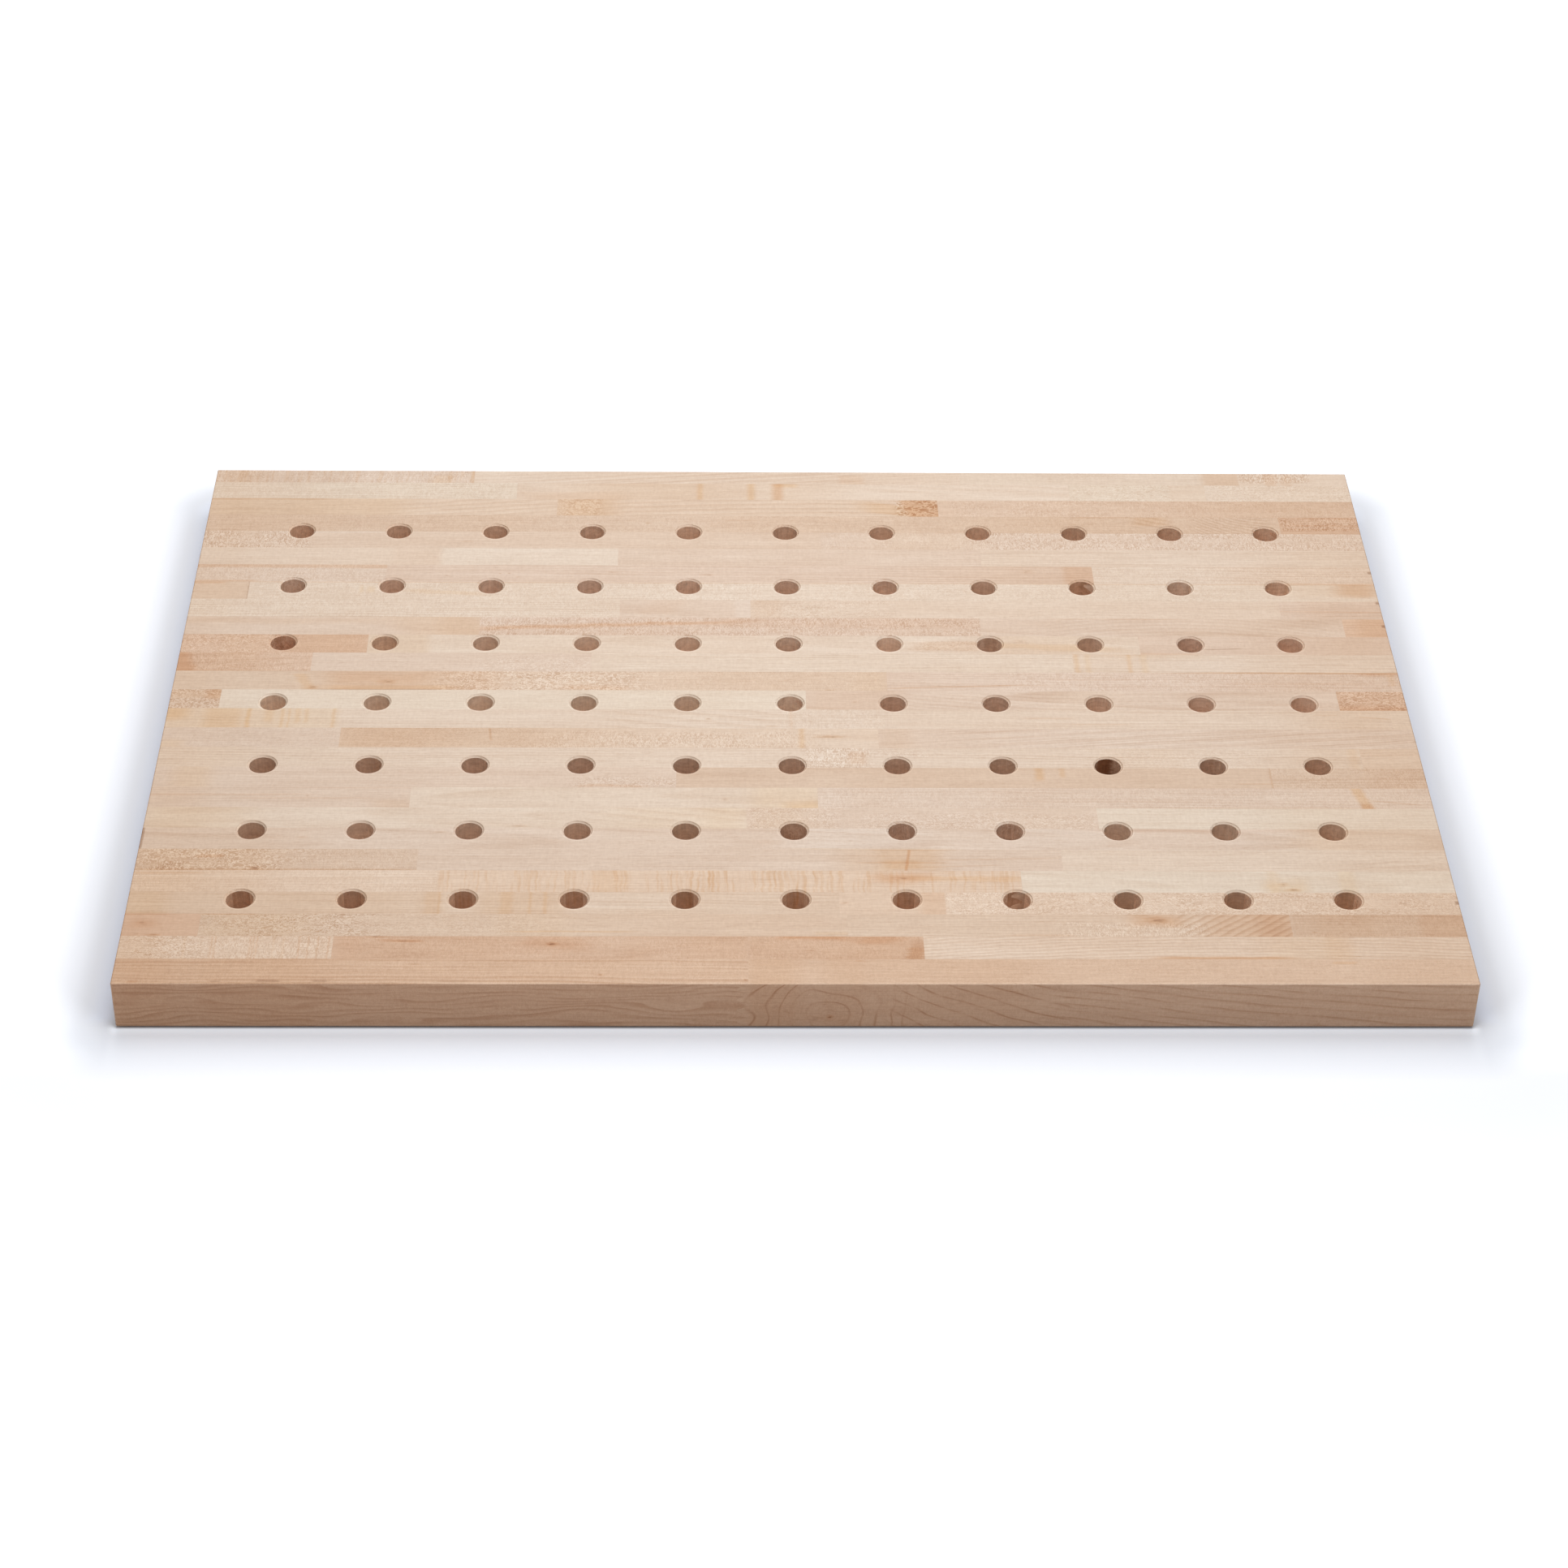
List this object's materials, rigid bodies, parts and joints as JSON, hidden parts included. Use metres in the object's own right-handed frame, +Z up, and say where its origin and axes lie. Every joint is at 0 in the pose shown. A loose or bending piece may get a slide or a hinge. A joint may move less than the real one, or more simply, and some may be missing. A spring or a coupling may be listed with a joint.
{
  "type": "perforated bench top",
  "caption": "Edge-glued maple bench top of finger-jointed staves, drilled right through with a square grid of chamfered dog holes for bench dogs, holdfasts and clamps.",
  "frame": {"origin": "middle of the underside, on the surface that the top rests on", "axes": "+X along the strips to the right, +Y from the front edge to the back edge, +Z up through the thickness"},
  "size_m": [0.9144, 0.635, 0.0381],
  "materials": {
    "maple": "sanded, clear satin oil"
  },
  "bodies": {
    "root": {"front_strip": "maple", "strip_02": "maple", "strip_03": "maple", "strip_04": "maple", "strip_05": "maple", "strip_06": "maple", "strip_07": "maple", "strip_08": "maple", "strip_09": "maple", "strip_10": "maple", "strip_11": "maple", "strip_12": "maple", "strip_13": "maple", "strip_14": "maple", "strip_15": "maple", "strip_16": "maple", "strip_17": "maple", "strip_18": "maple", "strip_19": "maple", "strip_20": "maple", "strip_21": "maple", "strip_22": "maple", "strip_23": "maple", "strip_24": "maple", "strip_25": "maple", "strip_26": "maple", "back_strip": "maple"}
  },
  "joints": []
}
